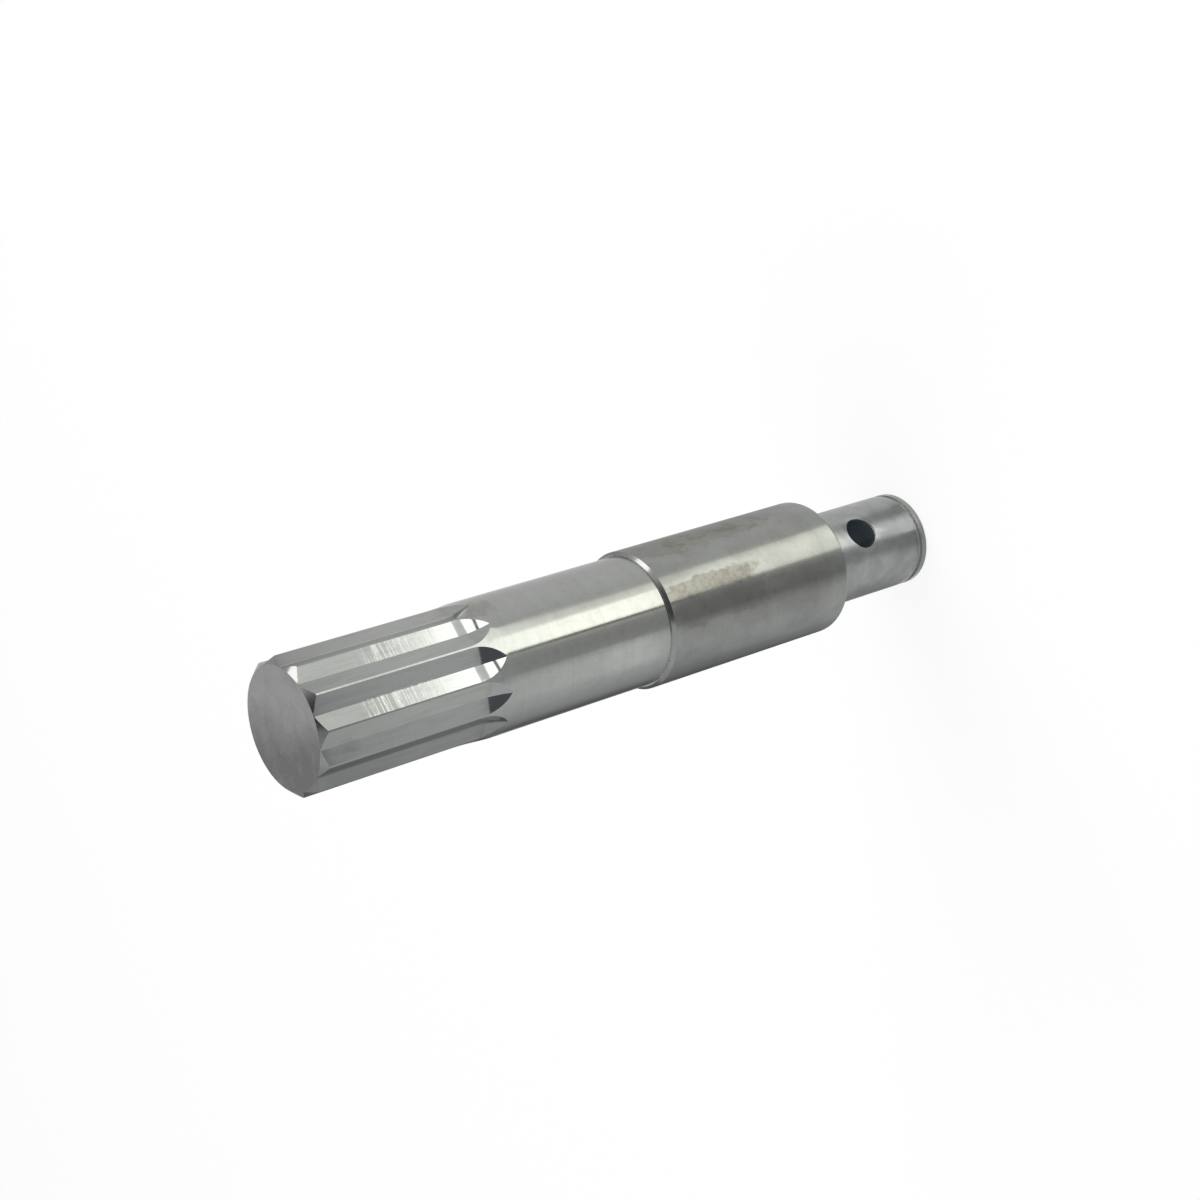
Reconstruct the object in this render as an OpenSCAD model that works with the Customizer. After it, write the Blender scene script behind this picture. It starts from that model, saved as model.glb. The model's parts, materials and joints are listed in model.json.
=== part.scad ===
// Stepped shaft, turned and ground from one bar, with a twelve-point end milled into it.
// It stands on its neck: the axis is Z, the foot is at z = 0 and the twelve-point end is on top.
// From the foot up: the neck with its ring groove and cross hole, the collar, the journal and
// the points.

/* [Twelve-point end] */
// Number of points, as on two equal polygons laid over each other
points = 12; // [8:2:16]
// Distance across two opposite flats
drive_across = 26; // [24:0.1:28]
// Diameter across two opposite points, which leaves a narrow land on each
points_d = 29.8; // [28:0.1:30]
// Length of the notches at full depth, measured from the end face
drive_l = 39.3; // [20:0.1:60]
// Radius of the disc cutter, which curves each notch out to the journal
cutter_r = 20; // [8:0.5:30]
// Width of the narrow flat at the bottom of each notch
root_w = 0.35; // [0.1:0.05:0.8]
// Chamfer round the end face
drive_chamfer = 1.5; // [0.5:0.1:2.5]
// Turn of the nearest point away from the cross hole, in degrees
drive_turn = 1.7; // [0:0.1:15]

/* [Journal] */
// Diameter of the ground journal
journal_d = 30; // [28:0.1:31.5]
// Length of the journal with its points, from the end face to the collar
journal_l = 91.2; // [75:0.1:130]

/* [Collar] */
// Diameter of the collar
collar_d = 32; // [31:0.1:40]
// Length of the collar
collar_l = 55.1; // [20:0.1:90]
// Chamfer of the collar's edge at the journal
shoulder_chamfer = 0.7; // [0.2:0.1:1.5]
// Rounding of the collar's edge at the neck
collar_round = 1; // [0.3:0.1:2.5]

/* [Neck] */
// Diameter of the neck
neck_d = 22.5; // [18:0.1:26]
// Length of the neck, from the foot to the collar
neck_l = 32.2; // [26:0.1:60]
// Fillet in the corner between the neck and the collar
neck_fillet = 0.8; // [0.2:0.1:2]
// Chamfer round the foot
neck_chamfer = 0.4; // [0.2:0.1:1.2]

/* [Ring groove] */
// Height of the groove's lower edge above the foot
ring_z = 1.9; // [1.3:0.1:5]
// Width of the groove
ring_w = 1.2; // [0.8:0.1:2]
// Depth of the groove
ring_depth = 0.5; // [0.2:0.05:1.2]

/* [Cross hole] */
// Diameter of the hole through the neck
hole_d = 8; // [3:0.1:10]
// Height of the hole's axis above the foot
hole_z = 20; // [13:0.1:22]
// Depth of the edge break at the two mouths
hole_break = 0.25; // [0.1:0.05:0.6]

/* [Hidden] */

$fn = 144;

// How far a cut runs out past the metal
margin = 1;

points_r = points_d / 2;
journal_r = journal_d / 2;
collar_r = collar_d / 2;
neck_r = neck_d / 2;
hole_r = hole_d / 2;

// Stations along the axis
collar_z = neck_l;
journal_z = collar_z + collar_l;
shaft_l = journal_z + journal_l;
notch_end_z = shaft_l - drive_l;

// Edge chamfer and corner fillet, each kept inside the step that it sits on
shoulder_step = collar_r - journal_r;
shoulder_edge = min(shoulder_chamfer, 0.9 * shoulder_step);
collar_edge = min(collar_round, 0.45 * collar_l);
neck_corner = min(neck_fillet, 0.9 * (collar_r - collar_edge - neck_r));

// A notch's two flanks lie on the flats of the two polygons. They rise from its bottom at
// flank_angle to the tangent, up to the lands on the points.
pitch = 360 / points;
flank_angle = pitch / 2;
root_r = drive_across / 2 / cos(flank_angle) + root_w / 2 * tan(flank_angle);
cutter_half_w = max(points_r, journal_r) * sin(flank_angle) + margin;
cutter_edge_r = cutter_r - (cutter_half_w - root_w / 2) * tan(flank_angle);

// Length of a notch's run-out, over which the points widen into the journal
notch_depth = max(journal_r - root_r, 0);
runout_l = sqrt(pow(cutter_r, 2) - pow(cutter_r - notch_depth, 2));

// Half of the disc cutter's section: x is the radius, y the place across its width
module cutter_section() {
    polygon([
        [0, -cutter_half_w],
        [cutter_edge_r, -cutter_half_w],
        [cutter_r, -root_w / 2],
        [cutter_r, root_w / 2],
        [cutter_edge_r, cutter_half_w],
        [0, cutter_half_w]
    ]);
}

// What the cutter takes out of the bar on one pass along +X: it comes in over the end face and
// stops with its axis level with notch_end_z, so its rim leaves the curved run-out.
module notch() {
    translate([root_r + cutter_r, 0, notch_end_z]) {
        rotate([0, 0, 180])
            linear_extrude(drive_l + margin)
                cutter_section();
        rotate([90, 0, 0])
            rotate([0, 0, 180])
                rotate_extrude(angle = 90)
                    cutter_section();
    }
}

module notches() {
    for (i = [0 : points - 1])
        rotate([0, 0, -90 - drive_turn + (i + 0.5) * pitch])
            notch();
}

// The corner that rounding a collar's edge takes off, with the edge at the origin
module round_off(r) {
    translate([-r, 0])
        difference() {
            square([r + margin, r]);
            translate([0, r])
                circle(r = r);
        }
}

// The metal that fills an inner corner, with the corner at the origin
module corner_fillet(r) {
    translate([0, -r])
        difference() {
            translate([-margin, 0])
                square([r + margin, r]);
            translate([r, 0])
                circle(r = r);
        }
}

// Half of the turned bar's lengthways section: x is the radius, y the height above the foot
module turned_section() {
    difference() {
        polygon([
            [0, 0],
            [neck_r - neck_chamfer, 0],
            [neck_r, neck_chamfer],
            [neck_r, ring_z],
            [neck_r - ring_depth, ring_z],
            [neck_r - ring_depth, ring_z + ring_w],
            [neck_r, ring_z + ring_w],
            [neck_r, collar_z],
            [collar_r, collar_z],
            [collar_r, journal_z - shoulder_edge],
            [collar_r - shoulder_edge, journal_z],
            [journal_r, journal_z],
            [journal_r, notch_end_z - runout_l - margin],
            [points_r, notch_end_z + margin],
            [points_r, shaft_l - drive_chamfer],
            [points_r - drive_chamfer, shaft_l],
            [0, shaft_l]
        ]);
        translate([collar_r, collar_z])
            round_off(collar_edge);
    }
    translate([neck_r, collar_z])
        corner_fillet(neck_corner);
}

// Hole straight through the neck along Y, with both mouths broken at 45 degrees
module cross_hole() {
    translate([0, 0, hole_z]) {
        rotate([90, 0, 0])
            cylinder(h = neck_d + 2 * margin, r = hole_r, center = true);
        for (side = [0, 180])
            rotate([0, 0, side])
                translate([0, hole_break - neck_r, 0])
                    rotate([90, 0, 0])
                        cylinder(h = hole_break + margin, r1 = hole_r, r2 = hole_r + hole_break + margin);
    }
}

module shaft() {
    color("silver")
        difference() {
            rotate_extrude()
                turned_section();
            notches();
            cross_hole();
        }
}

shaft();
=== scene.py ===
"""The stepped shaft's looks: each machined surface gets its own steel, on a pale floor in a soft studio."""
import json
import math

import bpy
from mathutils import Euler, Matrix, Vector


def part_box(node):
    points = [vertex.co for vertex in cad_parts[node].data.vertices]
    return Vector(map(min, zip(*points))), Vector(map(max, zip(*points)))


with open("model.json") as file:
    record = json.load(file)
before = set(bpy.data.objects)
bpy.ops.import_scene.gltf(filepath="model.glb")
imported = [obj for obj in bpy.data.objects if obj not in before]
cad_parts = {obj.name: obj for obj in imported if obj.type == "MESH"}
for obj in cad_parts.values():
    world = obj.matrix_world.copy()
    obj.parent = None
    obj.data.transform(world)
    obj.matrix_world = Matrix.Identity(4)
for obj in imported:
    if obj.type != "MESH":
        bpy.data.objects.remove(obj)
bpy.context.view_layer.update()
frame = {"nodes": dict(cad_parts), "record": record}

# The shaft's sizes and levels, in metres, from the frame

MM = 0.001
shaft = frame["nodes"]["shaft"]
mounts = {mount["name"]: mount for mount in frame["record"]["mounts"]}


def mount_radius(name):
    return mounts[name]["dims"]["r_mm"] * MM


def mount_height(name):
    return mounts[name]["pos_m"][2]


def mount_foot(name):
    """Height of a mount's lower end."""
    return mount_height(name) - mounts[name]["dims"]["length_mm"] * MM / 2


shaft_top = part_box("shaft")[1].z
journal_r = mount_radius("journal")
neck_r = mount_radius("neck")
hole_r = mount_radius("cross_hole")
hole_z = mount_height("cross_hole")
groove_z = mount_height("ring_groove")

# The collar's mount starts above the collar's rounded edge, and the journal's just above the shoulder
COLLAR_ROUND = 1.0 * MM
JOURNAL_GAP = 0.5 * MM
neck_top = mount_foot("collar") - COLLAR_ROUND
shoulder = mount_foot("journal") - JOURNAL_GAP


# Camera

# It has the photograph's angle. The shaft stands, so the camera is rolled to lay it across the
# picture.
CAMERA_AIM = Vector((6.0, -2.2, 92.9)) * MM
CAMERA_DISTANCE = 504.15 * MM
CAMERA_AZIMUTH = math.radians(20.2)
CAMERA_ELEVATION = math.radians(36.9)
CAMERA_ROLL = math.radians(106.8)
CAMERA_LENS = 67.6
CAMERA_SENSOR = 36
CAMERA_NEAR = 10 * MM


def make_camera():
    camera = bpy.data.objects.new("camera", bpy.data.cameras.new("camera"))
    bpy.context.scene.collection.objects.link(camera)
    camera.data.lens = CAMERA_LENS
    camera.data.sensor_width = CAMERA_SENSOR
    camera.data.clip_start = CAMERA_NEAR
    turn = Euler((math.pi / 2 - CAMERA_ELEVATION, 0, -CAMERA_AZIMUTH)).to_matrix()
    turn = turn @ Matrix.Rotation(-CAMERA_ROLL, 3, "Z")
    camera.matrix_world = turn.to_4x4()
    camera.location = CAMERA_AIM + turn @ Vector((0, 0, CAMERA_DISTANCE))
    bpy.context.scene.camera = camera


# Node helpers

# A colour mix's sockets go by number, because several of them share a name
MIX_FACTOR, MIX_A, MIX_B, MIX_RESULT = 0, 6, 7, 2

# Directions at the shaft's hidden back between which the painted shade of its lower side ends
LOWER_SIDE_END = (90, 92)

# Scale and detail of the noise with which the edges of patches wander
WANDER_NOISE = ((0.35, 0.35, 0.3), 4)

# A quarter turn takes the stretch of highlights from round the axis to along it
ALONG_AXIS = 0.25


class Nodes:
    """A material's or world's node tree, with short calls for the nodes used here."""

    def __init__(self, tree):
        self.tree = tree
        tree.nodes.clear()

    def add(self, kind, inputs=None, **settings):
        node = self.tree.nodes.new(kind)
        for name, value in settings.items():
            setattr(node, name, value)
        for name, value in (inputs or {}).items():
            self.feed(node.inputs[name], value)
        return node

    def feed(self, socket, value):
        if isinstance(value, bpy.types.NodeSocket):
            self.tree.links.new(value, socket)
        else:
            socket.default_value = value

    def math(self, operation, a, b=0.0, c=0.0):
        return self.add("ShaderNodeMath", {0: a, 1: b, 2: c}, operation=operation).outputs[0]

    def times(self, a, b):
        return self.math("MULTIPLY", a, b)

    def position(self, scale=(1, 1, 1)):
        """The point of the part in millimetres, scaled."""
        coordinates = self.add("ShaderNodeTexCoord").outputs["Object"]
        per_metre = [factor / MM for factor in scale]
        place = self.add("ShaderNodeMapping", {"Vector": coordinates, "Scale": per_metre})
        return place.outputs["Vector"]

    def axes(self):
        """The point's X, Y and Z in millimetres."""
        return self.add("ShaderNodeSeparateXYZ", {0: self.position()}).outputs

    def place(self):
        """The point's direction from the shaft's axis, in degrees from +X, and its height in mm."""
        x, y, z = self.axes()
        return self.math("DEGREES", self.math("ARCTAN2", y, x)), z

    def noise(self, scale, detail=2.0, roughness=0.5):
        """Noise of 0..1, with that many waves to the millimetre along X, Y and Z."""
        node = self.add("ShaderNodeTexNoise", {
            "Vector": self.position(scale), "Scale": 1.0, "Detail": detail, "Roughness": roughness})
        return node.outputs["Fac"]

    def ramp(self, value, low, high, start=0.0, end=1.0):
        """Takes value from low..high to start..end, clamped."""
        node = self.add("ShaderNodeMapRange", {
            "Value": value, "From Min": low, "From Max": high, "To Min": start, "To Max": end,
        }, interpolation_type="SMOOTHSTEP")
        return node.outputs["Result"]

    def band(self, value, low, high, soft):
        """1 between low and high, and 0 outside, with soft edges."""
        rise = self.ramp(value, low - soft / 2, low + soft / 2)
        fall = self.ramp(value, high - soft / 2, high + soft / 2, 1.0, 0.0)
        return self.times(rise, fall)

    def painted_shade_side(self, direction, inside, outside):
        """The mask of painted shade: 1 from direction inside round the shaft's lower side to its back, and
        0 beyond outside.
        """
        front = self.ramp(direction, inside, outside, 1.0, 0.0)
        return self.math("MAXIMUM", front, self.ramp(direction, *LOWER_SIDE_END))

    def patch(self, directions, heights, soft, wander):
        """1 between two directions and two heights, in degrees and mm. Its edges are that soft, and
        wander by that much in all."""
        direction, height = self.place()
        offset = self.times(self.math("SUBTRACT", self.noise(*WANDER_NOISE), 0.5), wander)
        across = self.band(self.math("ADD", direction, offset), *directions, soft)
        along = self.band(self.math("ADD", height, offset), *heights, soft)
        return self.times(across, along)

    def mix(self, factor, a, b, blend="MIX"):
        node = self.add("ShaderNodeMix", {MIX_FACTOR: factor}, data_type="RGBA", blend_type=blend)
        self.feed(node.inputs[MIX_A], a)
        self.feed(node.inputs[MIX_B], b)
        return node.outputs[MIX_RESULT]

    def tone(self, factor, amount, colour):
        """Multiplies colour by amount, a grey level or a colour, as far as factor goes."""
        level = amount if isinstance(amount, tuple) else (amount, amount, amount, 1)
        return self.mix(factor, colour, level, "MULTIPLY")

    def bump(self, height, depth_mm, normal=None):
        """Height as relief of that depth, on top of the relief in normal."""
        node = self.add("ShaderNodeBump", {"Height": height, "Distance": depth_mm * MM, "Strength": 1.0})
        if normal is not None:
            self.feed(node.inputs["Normal"], normal)
        return node.outputs["Normal"]


def new_material(name):
    material = bpy.data.materials.new(name)
    material.use_nodes = True
    return material, Nodes(material.node_tree)


def metal(nodes, colour, roughness, normal, anisotropy=0.0):
    """Bare metal. Its highlights stretch along the shaft, across the marks that run round it."""
    shader = nodes.add("ShaderNodeBsdfPrincipled", {
        "Base Color": colour, "Metallic": 1.0, "Roughness": roughness, "Normal": normal,
        "Anisotropic": anisotropy, "Anisotropic Rotation": ALONG_AXIS,
    })
    tangent = nodes.add("ShaderNodeTangent", direction_type="RADIAL", axis="Z")
    nodes.feed(shader.inputs["Tangent"], tangent.outputs["Tangent"])
    nodes.add("ShaderNodeOutputMaterial", {"Surface": shader.outputs["BSDF"]})


# Steels

# There is one for each way that a surface was made. Directions are in degrees from +X, and the
# photograph's camera stands at about -110. Lengths are in mm.

def steel(level, green=1.035, blue=0.97):
    """Steel's grey at that level, by default with the faint green cast of the photograph's."""
    return (level, level * green, level * blue, 1)


def beyond(base, low, high):
    """Two heights or radii in mm, from how far they lie beyond one of the shaft's."""
    return base / MM + low, base / MM + high


# Stained and scratched places, and painted highlights, as patch takes them: directions, heights, softness
# and wander
JOURNAL_HIGHLIGHT_STREAK = ((-152, -124), beyond(shoulder, 5.7, 18.7), 7, 16)
JOURNAL_SMUDGE = ((-67, -42), beyond(shaft_top, -49, -43.5), 2.4, 16)
COLLAR_SCRATCHED = ((-152, -104), beyond(shoulder, -14.3, -0.3), 6, 14)
COLLAR_THIN_FILM = ((-62, 0), beyond(shoulder, -41.3, 2.7), 5, 22)
COLLAR_BROWN_FILM = ((-104, -91), beyond(shoulder, -26.3, -0.3), 4, 14)
COLLAR_SHADE = ((-130, -103), beyond(shoulder, -28.3, -1.3), 1.2, 16)
NECK_HIGHLIGHT_SPOTS = [((-101, -91), beyond(hole_z, 5.5, 8.5), 3, 4),
                  ((-97.5, -91.5), beyond(hole_z, -7.2, -5.2), 2, 3)]
FLANK_SMUDGE = ((-145, -133), beyond(shaft_top, -8, -4), 4, 12)

# Heights of the collar's rubbed edge, and where the painted shade on the foot fades upwards
COLLAR_EDGE = beyond(neck_top, 0.05, 5.55)
FOOT_SHADE = beyond(groove_z, 0.1, 1.8)

# The polished rim of the cross hole fades between these distances from the hole's edge, and is
# less rough by this much
HOLE_RIM = (0.5, 1.6)
RIM_POLISH = 0.14

# Directions between which the painted shade of the lower side begins, on the neck and on the flanks,
# and those between which the shoulder's corner has a painted highlight
NECK_LOWER_SIDE = (-102, -97)
FLANK_LOWER_SIDE = (-153, -151.5)
SHOULDER_HIGHLIGHT = (-178, -131)

# The painted shade of the end faces lightens along this direction of X and Y, from this far on one
# side of the axis to as far on the other
FACE_SHADE_AXIS = (0.82, -0.57)
FACE_SHADE_REACH = 9

# Where the cutter chattered in the notches, as distances from the end face: a faint stretch in all
# of them, and a strong one in the two flanks at these directions. The fade is at a stretch's ends,
# in mm, and the edge at a flank's, in degrees.
FAINT_CHATTER = (13, 29)
FAINT_CHATTER_SHARE = 0.1
CHATTERED_FLANKS = [((-76.5, -61.8), (17.5, 32.5)), ((-121.5, -106.8), (12.5, 29))]
CHATTER_FADE = 5
FLANK_EDGE = 0.4

# Casts of the steels that aren't plain, as green and blue over red
NECK_CAST = (1.05, 1.02)
RIM_CAST = (1.04, 1.02)
FLANK_CAST = (1.035, 0.985)
EDGE_CAST = (1.02, 0.99)
HOLE_CAST = (1.15, 1.22)

# What films, smears and painted shade multiply the steel's colour by
THIN_FILM = (0.87, 0.865, 0.815, 1)
FILM_DRIPS = (0.82, 0.8, 0.74, 1)
BROWN_FILM = (0.72, 0.69, 0.65, 1)
WARM_SMEAR = (0.83, 0.825, 0.79, 1)
GREY_SMEAR = (0.87, 0.88, 0.87, 1)
COLD_SHADE = steel(0.68, 1.02, 1.04)
RUBBED_BRIGHT = (1.07, 1.09, 1.07, 1)


def ground_steel():
    """The journal and the lands on the points, ground round the axis."""
    material, nodes = new_material("ground_steel")
    lines = nodes.noise((0.05, 0.05, 5), 4)
    bands = nodes.noise((0.02, 0.02, 0.5), 2)
    cloud = nodes.noise((0.12, 0.12, 0.1), 4)
    mottle = nodes.noise((0.9, 0.9, 0.5), 4, 0.65)
    waves = nodes.noise((0.25, 0.25, 1.2), 2)
    colour = nodes.mix(cloud, steel(0.335), steel(0.365))
    colour = nodes.tone(nodes.ramp(bands, 0.4, 0.75), 0.96, colour)
    colour = nodes.tone(nodes.ramp(mottle, 0.48, 0.66), 0.95, colour)
    # Painted highlight: a lighter streak on the journal's lower side, just above the shoulder
    colour = nodes.tone(nodes.patch(*JOURNAL_HIGHLIGHT_STREAK), 1.12, colour)
    colour = nodes.tone(nodes.patch(*JOURNAL_SMUDGE), WARM_SMEAR, colour)
    roughness = nodes.ramp(lines, 0.3, 0.7, 0.13, 0.18)
    normal = nodes.bump(waves, depth_mm=0.007, normal=nodes.bump(lines, depth_mm=0.0006))
    metal(nodes, colour, roughness, normal, anisotropy=0.85)
    return material


def collar_steel():
    """The collar, ground and then stained: blotched grey, with a brown film on its upper half."""
    material, nodes = new_material("collar_steel")
    lines = nodes.noise((0.05, 0.05, 5), 4)
    cloud = nodes.noise((0.12, 0.12, 0.1), 5, 0.6)
    grain = nodes.noise((1.1, 1.1, 0.9), 3, 0.6)
    blots = nodes.noise((0.35, 0.35, 0.3), 5, 0.65)
    scratches = nodes.noise((0.25, 0.25, 3.5), 3, 0.6)
    drips = nodes.noise((0.28, 0.28, 0.22), 4, 0.6)
    colour = nodes.mix(nodes.ramp(cloud, 0.3, 0.7), steel(0.238), steel(0.29))
    colour = nodes.tone(nodes.ramp(blots, 0.56, 0.6), 0.95, colour)
    scratched = nodes.times(nodes.ramp(scratches, 0.6, 0.68), nodes.patch(*COLLAR_SCRATCHED))
    colour = nodes.tone(scratched, 0.86, colour)
    thin_film = nodes.patch(*COLLAR_THIN_FILM)
    colour = nodes.tone(thin_film, THIN_FILM, colour)
    colour = nodes.tone(nodes.times(thin_film, nodes.ramp(drips, 0.52, 0.6)), FILM_DRIPS, colour)
    brown_film = nodes.patch(*COLLAR_BROWN_FILM)
    colour = nodes.tone(brown_film, BROWN_FILM, colour)
    colour = nodes.tone(nodes.times(brown_film, nodes.ramp(grain, 0.44, 0.62)), 0.82, colour)
    colour = nodes.tone(nodes.patch(*COLLAR_SHADE), 0.87, colour)
    rubbed = nodes.band(nodes.place()[1], *COLLAR_EDGE, soft=1.5)
    colour = nodes.tone(rubbed, RUBBED_BRIGHT, colour)
    roughness = nodes.ramp(cloud, 0.3, 0.7, 0.2, 0.16)
    normal = nodes.bump(grain, depth_mm=0.003, normal=nodes.bump(lines, depth_mm=0.0012))
    metal(nodes, colour, roughness, normal, anisotropy=0.8)
    return material


def neck_steel():
    """The neck, turned and dull, with a polished rim round each mouth of the cross hole, and with painted
    highlight and painted shade.
    """
    material, nodes = new_material("neck_steel")
    lines = nodes.noise((0.05, 0.05, 4), 4)
    cloud = nodes.noise((0.25, 0.25, 0.25), 4, 0.6)
    colour = nodes.mix(nodes.ramp(cloud, 0.35, 0.65), steel(0.28, *NECK_CAST), steel(0.335, *NECK_CAST))
    x, _, z = nodes.axes()
    up = nodes.math("SUBTRACT", z, hole_z / MM)
    from_hole = nodes.math("SQRT", nodes.math("MULTIPLY_ADD", x, x, nodes.times(up, up)))
    rim = nodes.ramp(from_hole, *beyond(hole_r, *HOLE_RIM), 1.0, 0.0)
    colour = nodes.mix(rim, colour, steel(0.37, *RIM_CAST))
    # Painted highlight: two lighter spots beside the cross hole, where the bright band crosses the neck
    highlight_spots = nodes.math("MAXIMUM", *(nodes.patch(*spot) for spot in NECK_HIGHLIGHT_SPOTS))
    colour = nodes.tone(highlight_spots, 1.15, colour)
    # Painted shade: darker on the foot next to the ring groove, and darker still there on the lower side
    foot = nodes.ramp(z, *FOOT_SHADE, 1.0, 0.0)
    colour = nodes.tone(foot, 0.9, colour)
    painted_shade_side = nodes.painted_shade_side(nodes.place()[0], *NECK_LOWER_SIDE)
    colour = nodes.tone(nodes.times(foot, painted_shade_side), 0.82, colour)
    dull = nodes.ramp(cloud, 0.3, 0.7, 0.33, 0.27)
    roughness = nodes.math("MULTIPLY_ADD", rim, -RIM_POLISH, dull)
    normal = nodes.bump(cloud, depth_mm=0.02, normal=nodes.bump(lines, depth_mm=0.003))
    metal(nodes, colour, roughness, normal, anisotropy=0.4)
    return material


def milled_steel():
    """The notches' flanks: bright from the cutter, with chatter marks straight across them."""
    material, nodes = new_material("milled_steel")
    chatter = nodes.noise((0.03, 0.03, 1.9), 3, 0.65)
    fine = nodes.noise((0.1, 0.1, 6), 2)
    cloud = nodes.noise((0.3, 0.3, 0.1), 3)
    smear = nodes.noise((0.9, 0.9, 0.12), 4, 0.6)
    direction, height = nodes.place()
    colour = nodes.mix(cloud, steel(0.36, *FLANK_CAST), steel(0.385, *FLANK_CAST))
    colour = nodes.tone(nodes.ramp(smear, 0.45, 0.7), 0.91, colour)
    colour = nodes.tone(nodes.patch(*FLANK_SMUDGE), GREY_SMEAR, colour)
    # Painted shade: the flanks on the lower side are darker and colder
    painted_shade_side = nodes.painted_shade_side(direction, *FLANK_LOWER_SIDE)
    colour = nodes.tone(painted_shade_side, COLD_SHADE, colour)
    from_end = nodes.math("SUBTRACT", shaft_top / MM, height)
    depth = nodes.times(nodes.band(from_end, *FAINT_CHATTER, CHATTER_FADE), FAINT_CHATTER_SHARE)
    for directions, chattered in CHATTERED_FLANKS:
        across = nodes.band(direction, *directions, FLANK_EDGE)
        strong = nodes.times(across, nodes.band(from_end, *chattered, CHATTER_FADE))
        depth = nodes.math("MAXIMUM", depth, strong)
    strokes = nodes.times(nodes.ramp(chatter, 0.49, 0.62), depth)
    normal = nodes.bump(strokes, depth_mm=0.02, normal=nodes.bump(fine, depth_mm=0.0006))
    metal(nodes, colour, roughness=0.08, normal=normal)
    return material


def face_steel():
    """The end faces: sawn, dull and blotched, with painted shade darkening them towards the lower side."""
    material, nodes = new_material("face_steel")
    grain = nodes.noise((2.5, 2.5, 2.5), 4, 0.6)
    cloud = nodes.noise((0.22, 0.22, 0.22), 5, 0.6)
    x, y, _ = nodes.axes()
    # Painted shade darkens the face towards the lower side, and the cloud blotches it
    across = nodes.math("MULTIPLY_ADD", y, FACE_SHADE_AXIS[1], nodes.times(x, FACE_SHADE_AXIS[0]))
    blotch = nodes.math("SUBTRACT", cloud, 0.5)
    fade = nodes.math("ADD", nodes.ramp(across, -FACE_SHADE_REACH, FACE_SHADE_REACH), blotch)
    colour = nodes.mix(fade, steel(0.18, 1, 1.01), steel(0.38, 1, 1))
    roughness = nodes.ramp(grain, 0.3, 0.7, 0.42, 0.55)
    metal(nodes, colour, roughness, nodes.bump(grain, depth_mm=0.012))
    return material


def edge_steel():
    """The chamfers, turned with a fine feed."""
    material, nodes = new_material("edge_steel")
    lines = nodes.noise((0.2, 0.2, 4), 3)
    cloud = nodes.noise((0.5, 0.5, 0.5), 3)
    nicks = nodes.noise((2.1, 2.1, 1.7), 2, 0.5)
    colour = nodes.mix(cloud, steel(0.33, *EDGE_CAST), steel(0.38, *EDGE_CAST))
    colour = nodes.tone(nodes.ramp(nicks, 0.62, 0.7), 0.75, colour)
    normal = nodes.bump(cloud, depth_mm=0.012, normal=nodes.bump(lines, depth_mm=0.001))
    metal(nodes, colour, roughness=0.14, normal=normal)
    return material


def drilled_steel():
    """The wall of the cross hole, left as drilled."""
    material, nodes = new_material("drilled_steel")
    marks = nodes.noise((1, 4, 1), 3)
    colour = nodes.mix(marks, steel(0.29, *HOLE_CAST), steel(0.37, *HOLE_CAST))
    metal(nodes, colour, roughness=0.5, normal=nodes.bump(marks, depth_mm=0.02))
    return material


def recess_steel():
    """The ring groove and the corner of the shoulder, cut with a narrow tool, with a painted highlight on
    one side of the corner.
    """
    material, nodes = new_material("recess_steel")
    lines = nodes.noise((0.2, 0.2, 6), 3)
    colour = nodes.mix(lines, steel(0.45), steel(0.51))
    direction, height = nodes.place()
    at_shoulder = nodes.math("GREATER_THAN", height, neck_top / MM)
    # Painted highlight: the shoulder's corner is much lighter on one side
    bright = nodes.times(nodes.band(direction, *SHOULDER_HIGHLIGHT, soft=6), at_shoulder)
    colour = nodes.mix(bright, colour, steel(0.85))
    metal(nodes, colour, roughness=0.45, normal=nodes.bump(lines, depth_mm=0.004))
    return material


STEELS = {
    "ground": ground_steel, "collar": collar_steel, "neck": neck_steel, "milled": milled_steel,
    "face": face_steel, "edge": edge_steel, "drilled": drilled_steel, "recess": recess_steel,
}


# Which faces get which steel

# A face across the axis has at least this normal.z, and an upper chamfer one in this range
ACROSS_AXIS = 0.99
CHAMFER_SLOPE = (0.65, 0.75)

# A face of the cross hole's wall is within this radius of its axis, and faces that axis this much
HOLE_WALL_R = 1.02 * hole_r
FACING_HOLE = -0.5

# A face of the groove is this near its height, and this far inside the neck; the corner of the
# shoulder is this near the shoulder
GROOVE_HALF = 0.65 * MM
GROOVE_INSIDE = 0.1 * MM
SHOULDER_NEAR = 0.2 * MM

# The neck's steel reaches onto the lowest facets of the collar's rounded edge
NECK_REACH = neck_top + 0.05 * MM

# A face of a notch leans more than 8 degrees from facing outward, or lies this far in
FLANK_LEAN = math.cos(math.radians(8))
FLANK_R = 0.92 * journal_r

# Least radius to divide by, for a face centred on the axis
LEAST_R = 0.1 * MM


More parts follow.
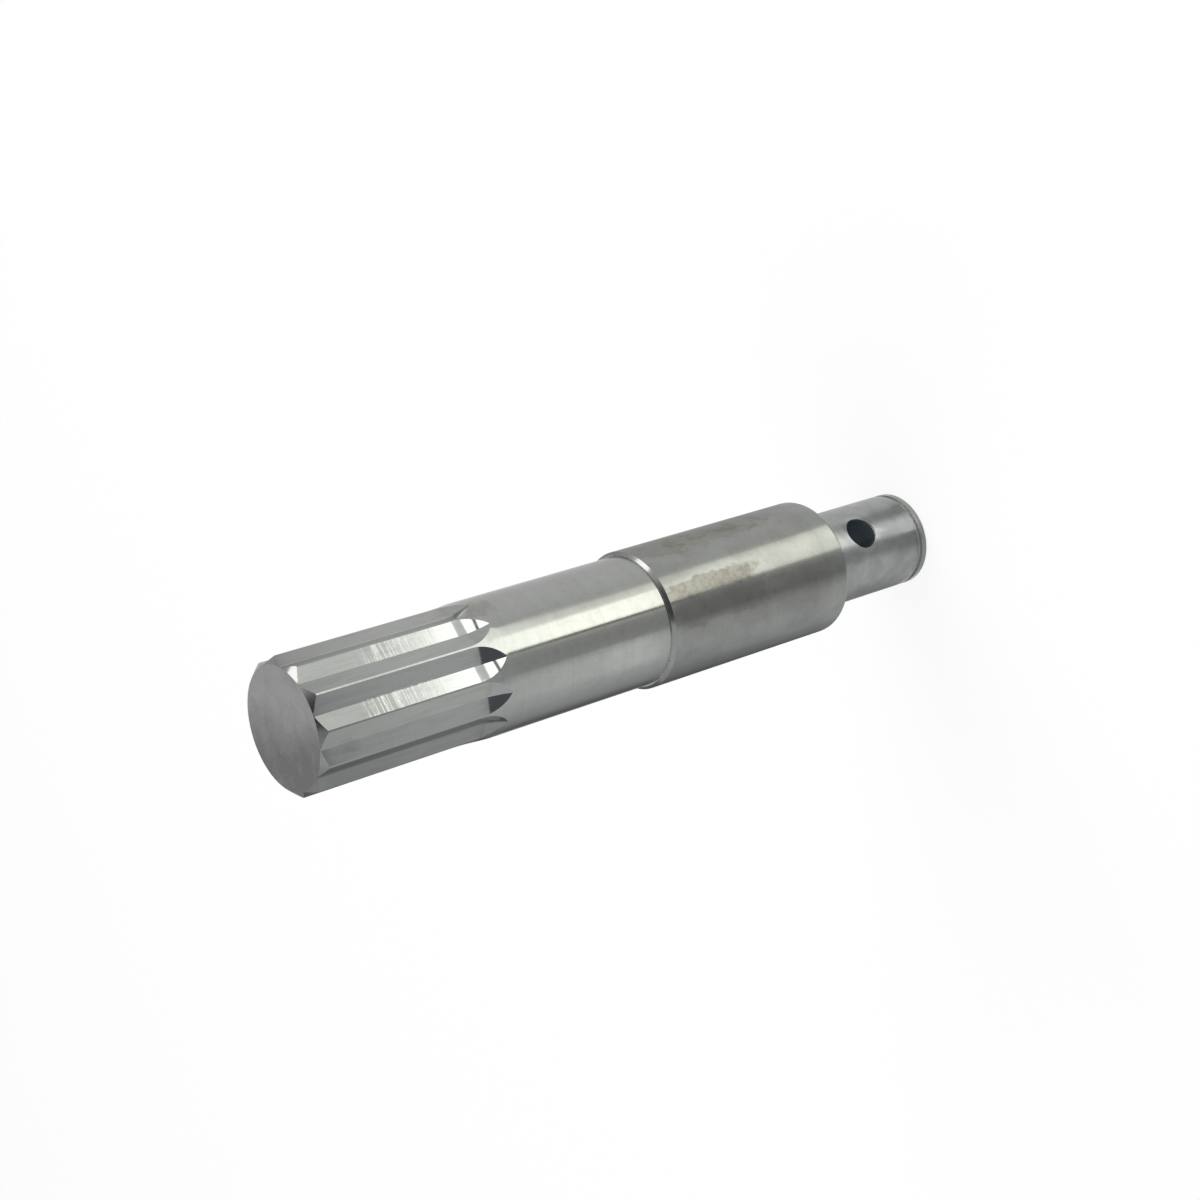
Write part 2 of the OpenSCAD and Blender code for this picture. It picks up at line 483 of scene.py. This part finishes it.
def surface_kind(centre, normal):
    """Which way of working made the face of the shaft at that centre, with that normal."""
    radius = math.hypot(centre.x, centre.y)
    outward = Vector((centre.x, centre.y, 0)) / max(radius, LEAST_R)
    from_hole = Vector((centre.x, 0, centre.z - hole_z))
    if from_hole.length < HOLE_WALL_R and from_hole.dot(normal) < FACING_HOLE * from_hole.length:
        return "drilled"
    in_groove = abs(centre.z - groove_z) < GROOVE_HALF and radius < neck_r - GROOVE_INSIDE
    at_shoulder = abs(centre.z - shoulder) < SHOULDER_NEAR and normal.z > ACROSS_AXIS
    if in_groove or at_shoulder:
        return "recess"
    if abs(normal.z) > ACROSS_AXIS:
        return "face"
    if centre.z < NECK_REACH:
        return "neck"
    if CHAMFER_SLOPE[0] < normal.z < CHAMFER_SLOPE[1]:
        return "edge"
    if centre.z < shoulder:
        return "collar"
    if normal.dot(outward) < FLANK_LEAN or radius < FLANK_R:
        return "milled"
    return "ground"


def dress_shaft():
    mesh = shaft.data
    mesh.materials.clear()
    kinds = list(STEELS)
    for make in STEELS.values():
        mesh.materials.append(make())
    for face in mesh.polygons:
        face.material_index = kinds.index(surface_kind(face.center, face.normal))


# Studio

# What the camera and the metal see of it is white, and the floor keeps a part of its own shading
BACKDROP = (1, 1, 1, 1)
FLOOR_HALF = 3.0
FLOOR_COLOUR = (0.9, 0.9, 0.9, 1)
FLOOR_BACKDROP_SHARE = 0.85
AMBIENT = 0.6


def seen_directly(nodes):
    """1 for camera, glossy and transmission rays, and 0 for the rays that light the object."""
    path = nodes.add("ShaderNodeLightPath").outputs
    seen = nodes.math("MAXIMUM", path["Is Camera Ray"], path["Is Glossy Ray"])
    return nodes.math("MAXIMUM", seen, path["Is Transmission Ray"])


def make_world():
    world = bpy.data.worlds.new("studio")
    bpy.context.scene.world = world
    world.use_nodes = True
    world.cycles.sampling_method = "NONE"
    nodes = Nodes(world.node_tree)
    light = nodes.add("ShaderNodeBackground", {"Color": BACKDROP, "Strength": AMBIENT})
    backdrop = nodes.add("ShaderNodeBackground", {"Color": BACKDROP, "Strength": 1.0})
    mixed = nodes.add("ShaderNodeMixShader", {
        0: seen_directly(nodes), 1: light.outputs[0], 2: backdrop.outputs[0]})
    nodes.add("ShaderNodeOutputWorld", {"Surface": mixed.outputs[0]})


def make_floor():
    mesh = bpy.data.meshes.new("floor")
    corners = [(-FLOOR_HALF, -FLOOR_HALF, 0), (FLOOR_HALF, -FLOOR_HALF, 0),
               (FLOOR_HALF, FLOOR_HALF, 0), (-FLOOR_HALF, FLOOR_HALF, 0)]
    mesh.from_pydata(corners, [], [(0, 1, 2, 3)])
    floor = bpy.data.objects.new("floor", mesh)
    bpy.context.scene.collection.objects.link(floor)
    material, nodes = new_material("pale_floor")
    material.cycles.emission_sampling = "NONE"
    own = nodes.add("ShaderNodeBsdfDiffuse", {"Color": FLOOR_COLOUR})
    backdrop = nodes.add("ShaderNodeEmission", {"Color": BACKDROP, "Strength": 1.0})
    share = nodes.times(seen_directly(nodes), FLOOR_BACKDROP_SHARE)
    mixed = nodes.add("ShaderNodeMixShader", {0: share, 1: own.outputs[0], 2: backdrop.outputs[0]})
    nodes.add("ShaderNodeOutputMaterial", {"Surface": mixed.outputs[0]})
    mesh.materials.append(material)


# Reflection cards

# As in a product studio, these are bent sheets round the shaft that only the metal sees. A card has
# a tint and stops. Its stops go round the axis and are (direction in degrees from +X, tone), where
# the white backdrop is 1, and the tone between two stops is blended.
COOL = (0.985, 1.0, 1.03)
WARM = (1.01, 1.0, 0.94)
NEUTRAL = (1.0, 0.99, 1.01)
PALE = (1.0, 1.0, 0.98)
BROWN = (1.0, 0.88, 0.68)
DUSK = (0.97, 1.0, 1.17)

# On the floor, ring by ring: the neck mirrors the nearest, then come the collar, the journal and
# the notches' flanks
FOOT_CARDS = [
    (NEUTRAL, [(98, 0.5), (48, 0.85), (-32, 0.92), (-38, 0.85), (-46, 0.5), (-60, 0.45)]),
    (NEUTRAL, [(-60, 0.45), (-66, 0.82), (-76, 1.5), (-95, 1.42), (-99, 0.8), (-106, 0.55)]),
]
FOOT_SIDE_CARDS = [
    (NEUTRAL, [(-106, 0.55), (-126, 0.56), (-139, 0.97), (-150, 1.05), (-180, 1.02)]),
    (NEUTRAL, [(180, 1.02), (168, 0.78), (158, 0.66), (138, 0.42), (98, 0.42), (80, 0.5)]),
]
COLLAR_CARDS = [
    (NEUTRAL, [(98, 0.12), (92, 0.2), (86, 0.42), (78, 0.52), (48, 0.62), (38, 0.5), (28, 0.54), (8, 0.68),
               (-12, 0.88), (-55, 0.98)]),
    (WARM, [(-55, 0.98), (-58, 1.05), (-61, 1.85), (-66, 2.15), (-72, 2.35), (-95, 2.2), (-99.5, 1.6)]),
    (NEUTRAL, [(-99.5, 0.9), (-104, 0.62), (-112, 0.5), (-132, 0.41), (-142, 0.6), (-152, 0.76),
               (-180, 0.84)]),
    (COOL, [(180, 0.84), (168, 0.77), (158, 0.7), (148, 0.6), (138, 0.44), (128, 0.34), (118, 0.24),
            (108, 0.15), (98, 0.12)]),
]
JOURNAL_CARDS = [
    (NEUTRAL, [(98, 0.14), (92, 0.24), (87, 0.48), (78, 0.6), (60, 0.72), (48, 0.78), (38, 0.71),
               (28, 0.75), (18, 0.8), (-12, 0.91), (-32, 0.91), (-55, 0.8)]),
    (WARM, [(-55, 0.8), (-58.5, 0.9), (-60.5, 1.3), (-68, 1.45), (-72, 1.7), (-75, 2.8), (-97, 3.0),
            (-101, 2.7)]),
    (BROWN, [(-101, 0.3), (-105, 0.3)]),
    (NEUTRAL, [(-105, 0.8), (-108, 0.75), (-111, 0.56), (-122, 0.5), (-137, 0.54), (-141, 0.82),
               (-151, 1.0), (-180, 0.98)]),
    (COOL, [(180, 0.95), (168, 0.8), (148, 0.62), (138, 0.53), (128, 0.42), (118, 0.25), (108, 0.13),
            (98, 0.13)]),
]
FLANK_CARDS = [
    (NEUTRAL, [(98, 0.25), (60, 0.8), (40, 0.88), (-20, 0.9), (-57, 0.9)]),
    (COOL, [(-100, 0.5), (-104, 0.72), (-140, 0.72), (-150, 0.85), (-180, 0.85)]),
    (NEUTRAL, [(180, 0.85), (160, 0.8), (120, 0.4), (98, 0.25)]),
]

# On the wall: the notches' run-outs mirror its foot, and the chamfers mirror it higher up
LOW_WALL_CARDS = [
    (NEUTRAL, [(98, 0.2), (60, 0.66), (48, 0.66), (42, 0.52), (9, 0.5), (-12, 0.56),
               (-20, 0.8), (-57, 0.8)]),
    (DUSK, [(-99.5, 0.15), (-142, 0.15), (-146, 0.8), (-180, 0.8)]),
    (COOL, [(180, 0.8), (160, 0.78), (148, 0.5), (139, 0.4), (124, 0.2), (98, 0.18)]),
]
HIGH_WALL_CARDS = [
    (NEUTRAL, [(62, 0.42), (48, 0.45), (36, 0.57), (5, 0.6), (-6, 0.75), (-45, 0.84), (-53, 0.76),
               (-63, 0.46), (-76, 0.18)]),
    (COOL, [(-76, 0.18), (-120, 0.12), (-131, 0.22), (-140, 0.72), (-180, 0.84)]),
    (NEUTRAL, [(180, 0.84), (168, 0.8), (158, 0.75), (148, 0.61), (138, 0.54), (124, 0.52), (112, 0.45),
               (104, 0.35), (98, 0.12)]),
]

# The bright window, across floor and wall, and the sheet that stands in for the key lamp
WINDOW_STOPS = [(-57, 1.0), (-99.5, 1.0)]
KEY_STOPS = [(-5, 2.7), (-36, 2.7)]

# Distances of the rings from the axis, and heights of the cards, in metres
NECK_RING = 0.0125
COLLAR_RING = 0.042
JOURNAL_RING = 0.119
FLANK_RING = 0.212
REACH = 0.335
WINDOW_REACH = REACH - 0.003
KEY_REACH = REACH - 0.01
CARD_LIFT = 0.0004
WINDOW_FOOT = 0.012
SASH_FOOT = 0.082
SASH_TOP = 0.1
WINDOW_TOP = 0.21
WALL_JOINT = 0.15

# Gains of the window and of the dark bar across it
WINDOW_GAIN = 2.95
SASH_GAIN = 0.15

# Degrees from one column of a card's corners to the next
CARD_STEP = 4


def row(distance, height=CARD_LIFT, gain=1.0, twist=0.0):
    """A row of a card's corners: its distance from the axis and its height in metres, the gain that
    multiplies the tones there, and the degrees that are added to the stops' directions there."""
    return distance, height, gain, twist


# The foot's side cards lie over the foot's other cards, whose twisted row reaches under them
RINGS = {
    "foot": (FOOT_CARDS, [row(NECK_RING, twist=-15), row(COLLAR_RING)]),
    "foot_side": (FOOT_SIDE_CARDS, [row(NECK_RING, 2 * CARD_LIFT, 0.72),
                                    row(COLLAR_RING, 2 * CARD_LIFT)]),
    "collar": (COLLAR_CARDS, [row(COLLAR_RING), row(JOURNAL_RING)]),
    "journal": (JOURNAL_CARDS, [row(JOURNAL_RING), row(FLANK_RING)]),
    "flank": (FLANK_CARDS, [row(FLANK_RING), row(0.26), row(REACH, gain=0.8)]),
    "low_wall": (LOW_WALL_CARDS, [row(REACH), row(REACH, WALL_JOINT)]),
    "high_wall": (HIGH_WALL_CARDS, [row(REACH, WALL_JOINT), row(REACH, 0.26), row(REACH, 0.31, 0.86),
                                    row(REACH, 0.55, 0.86), row(REACH, 0.65, 0.5),
                                    row(REACH, 0.9, 0.5)]),
}
WINDOW_ROWS = {
    "flank_window": [row(FLANK_RING, gain=WINDOW_GAIN), row(0.232, gain=2.9), row(0.242, gain=2.5),
                     row(0.256, gain=1.8), row(0.28, gain=1.2), row(WINDOW_REACH, gain=1.12),
                     row(WINDOW_REACH, WINDOW_FOOT, 1.15)],
    "wall_window": [row(WINDOW_REACH, WINDOW_FOOT, WINDOW_GAIN),
                    row(WINDOW_REACH, SASH_FOOT, WINDOW_GAIN)],
    "wall_sash": [row(WINDOW_REACH, SASH_FOOT, SASH_GAIN), row(WINDOW_REACH, SASH_TOP, SASH_GAIN)],
    "wall_window_top": [row(WINDOW_REACH, SASH_TOP, WINDOW_GAIN),
                        row(WINDOW_REACH, WINDOW_TOP, WINDOW_GAIN)],
}
KEY_ROWS = [row(KEY_REACH, 0.25), row(KEY_REACH, 0.5)]


def card_material():
    material, nodes = new_material("card")
    material.cycles.emission_sampling = "NONE"
    glow = nodes.add("ShaderNodeAttribute", attribute_name="glow").outputs["Color"]
    shine = nodes.add("ShaderNodeEmission", {"Color": glow, "Strength": 1.0})
    nodes.add("ShaderNodeOutputMaterial", {"Surface": shine.outputs[0]})
    return material


def blend_stops(stops):
    """The stops, with steps of about CARD_STEP degrees between them."""
    columns = []
    for (start, first), (end, last) in zip(stops, stops[1:]):
        steps = max(1, round(abs(end - start) / CARD_STEP))
        columns += [(start + (end - start) * step / steps, first + (last - first) * step / steps)
                    for step in range(steps)]
    return columns + [stops[-1]]


def make_card(name, rows, stops, tint, material):
    columns = blend_stops(stops)
    points, glow = [], []
    for direction, tone in columns:
        for distance, height, gain, twist in rows:
            angle = math.radians(direction + twist)
            points.append((distance * math.cos(angle), distance * math.sin(angle), height))
            glow.append([tone * gain * part for part in tint] + [1])
    # The points go column by column, so the next column's are count further on
    count = len(rows)
    quads = [(corner, corner + 1, corner + count + 1, corner + count)
             for first in range(0, len(points) - count, count)
             for corner in range(first, first + count - 1)]
    mesh = bpy.data.meshes.new(name)
    mesh.from_pydata(points, [], quads)
    colours = mesh.color_attributes.new("glow", "FLOAT_COLOR", "POINT")
    for corner, value in enumerate(glow):
        colours.data[corner].color = value
    mesh.materials.append(material)
    card = bpy.data.objects.new(name, mesh)
    bpy.context.scene.collection.objects.link(card)
    card.visible_camera = card.visible_diffuse = card.visible_shadow = False
    card.visible_transmission = card.visible_volume_scatter = False


def make_cards():
    material = card_material()
    for ring, (cards, rows) in RINGS.items():
        for number, (tint, stops) in enumerate(cards):
            make_card(f"card_{ring}_{number}", rows, stops, tint, material)
    for window, rows in WINDOW_ROWS.items():
        make_card(f"card_{window}", rows, WINDOW_STOPS, PALE, material)
    make_card("card_key", KEY_ROWS, KEY_STOPS, NEUTRAL, material)


# Lamps

# Each is a name, direction in degrees from +X, elevation in degrees, distance and side in metres,
# and watts. The metal doesn't mirror them, because the cards stand in for them there.
LAMPS = [
    ("key", -16, 45, 1.0, 0.6, 5.0),
    ("fill", 150, 60, 1.2, 0.9, 5.0),
]


def make_lamp(name, direction, elevation, distance, side, watts):
    light = bpy.data.lights.new(name, "AREA")
    light.shape = "SQUARE"
    light.size = side
    light.energy = watts
    lamp = bpy.data.objects.new(name, light)
    bpy.context.scene.collection.objects.link(lamp)
    turn, rise = math.radians(direction), math.radians(elevation)
    away = Vector((math.cos(turn) * math.cos(rise), math.sin(turn) * math.cos(rise), math.sin(rise)))
    lamp.location = Vector((0, 0, shaft_top / 2)) + distance * away
    lamp.rotation_euler = away.to_track_quat("Z", "Y").to_euler()
    lamp.visible_glossy = False


make_camera()
make_world()
make_floor()
make_cards()
for lamp in LAMPS:
    make_lamp(*lamp)
dress_shaft()

bpy.context.scene.view_settings.view_transform = "Standard"
